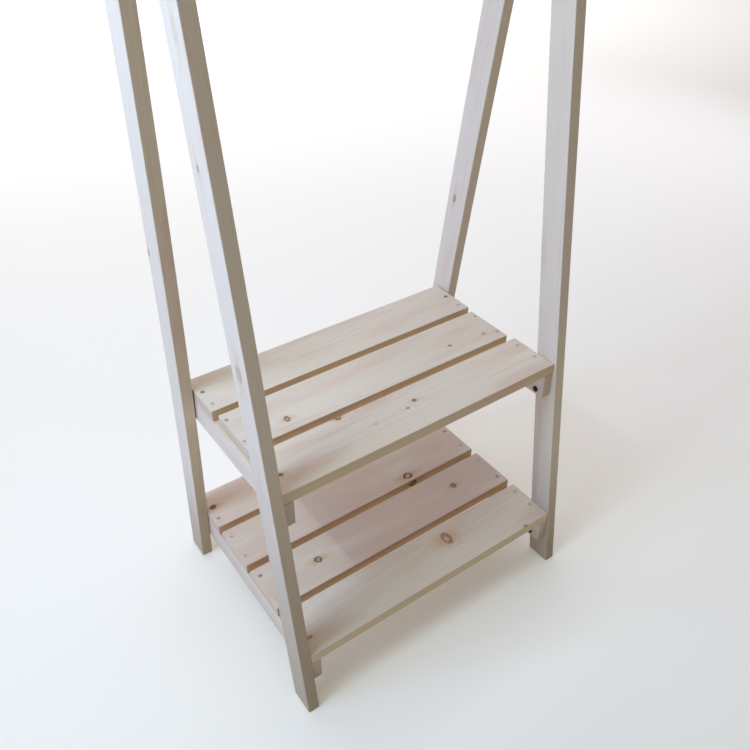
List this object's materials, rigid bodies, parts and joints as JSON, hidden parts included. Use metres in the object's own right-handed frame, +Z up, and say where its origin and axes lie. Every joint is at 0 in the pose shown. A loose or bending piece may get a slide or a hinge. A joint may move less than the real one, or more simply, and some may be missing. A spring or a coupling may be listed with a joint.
{
  "type": "clothes rack",
  "caption": "Free-standing wooden A-frame clothes rack with a round hanging rod at the top and two slatted shelves below.",
  "frame": {"origin": "on the floor, at the middle of the four feet", "axes": "+X along the slats and the rod to the right-hand side frame, -Y towards the front, +Z up"},
  "size_m": [0.6526, 0.445, 1.57],
  "materials": {
    "pine": "bare planed softwood, slightly whitened",
    "turned_pine": "bare turned softwood, sanded smooth",
    "zinc_steel": "zinc plated",
    "black_steel": "black oxide, satin"
  },
  "bodies": {
    "root": {"bolt_lower_back_left": "black_steel", "bolt_lower_back_right": "black_steel", "bolt_lower_front_left": "black_steel", "bolt_lower_front_right": "black_steel", "bolt_upper_back_left": "black_steel", "bolt_upper_back_right": "black_steel", "bolt_upper_front_left": "black_steel", "bolt_upper_front_right": "black_steel", "hanging_rod": "turned_pine", "leg_back_left": "pine", "leg_back_right": "pine", "leg_front_left": "pine", "leg_front_right": "pine", "rail_lower_left": "pine", "rail_lower_right": "pine", "rail_upper_left": "pine", "rail_upper_right": "pine", "rod_screw_back_left": "zinc_steel", "rod_screw_back_right": "zinc_steel", "rod_screw_front_left": "zinc_steel", "rod_screw_front_right": "zinc_steel", "screw_lower_1_left_a": "zinc_steel", "screw_lower_1_left_b": "zinc_steel", "screw_lower_1_right_a": "zinc_steel", "screw_lower_1_right_b": "zinc_steel", "screw_lower_2_left_a": "zinc_steel", "screw_lower_2_left_b": "zinc_steel", "screw_lower_2_right_a": "zinc_steel", "screw_lower_2_right_b": "zinc_steel", "screw_lower_3_left_a": "zinc_steel", "screw_lower_3_left_b": "zinc_steel", "screw_lower_3_right_a": "zinc_steel", "screw_lower_3_right_b": "zinc_steel", "screw_lower_4_left_a": "zinc_steel", "screw_lower_4_left_b": "zinc_steel", "screw_lower_4_right_a": "zinc_steel", "screw_lower_4_right_b": "zinc_steel", "screw_upper_1_left_a": "zinc_steel", "screw_upper_1_left_b": "zinc_steel", "screw_upper_1_right_a": "zinc_steel", "screw_upper_1_right_b": "zinc_steel", "screw_upper_2_left_a": "zinc_steel", "screw_upper_2_left_b": "zinc_steel", "screw_upper_2_right_a": "zinc_steel", "screw_upper_2_right_b": "zinc_steel", "screw_upper_3_left_a": "zinc_steel", "screw_upper_3_left_b": "zinc_steel", "screw_upper_3_right_a": "zinc_steel", "screw_upper_3_right_b": "zinc_steel", "slat_lower_1": "pine", "slat_lower_2": "pine", "slat_lower_3": "pine", "slat_lower_4": "pine", "slat_upper_1": "pine", "slat_upper_2": "pine", "slat_upper_3": "pine"}
  },
  "joints": []
}
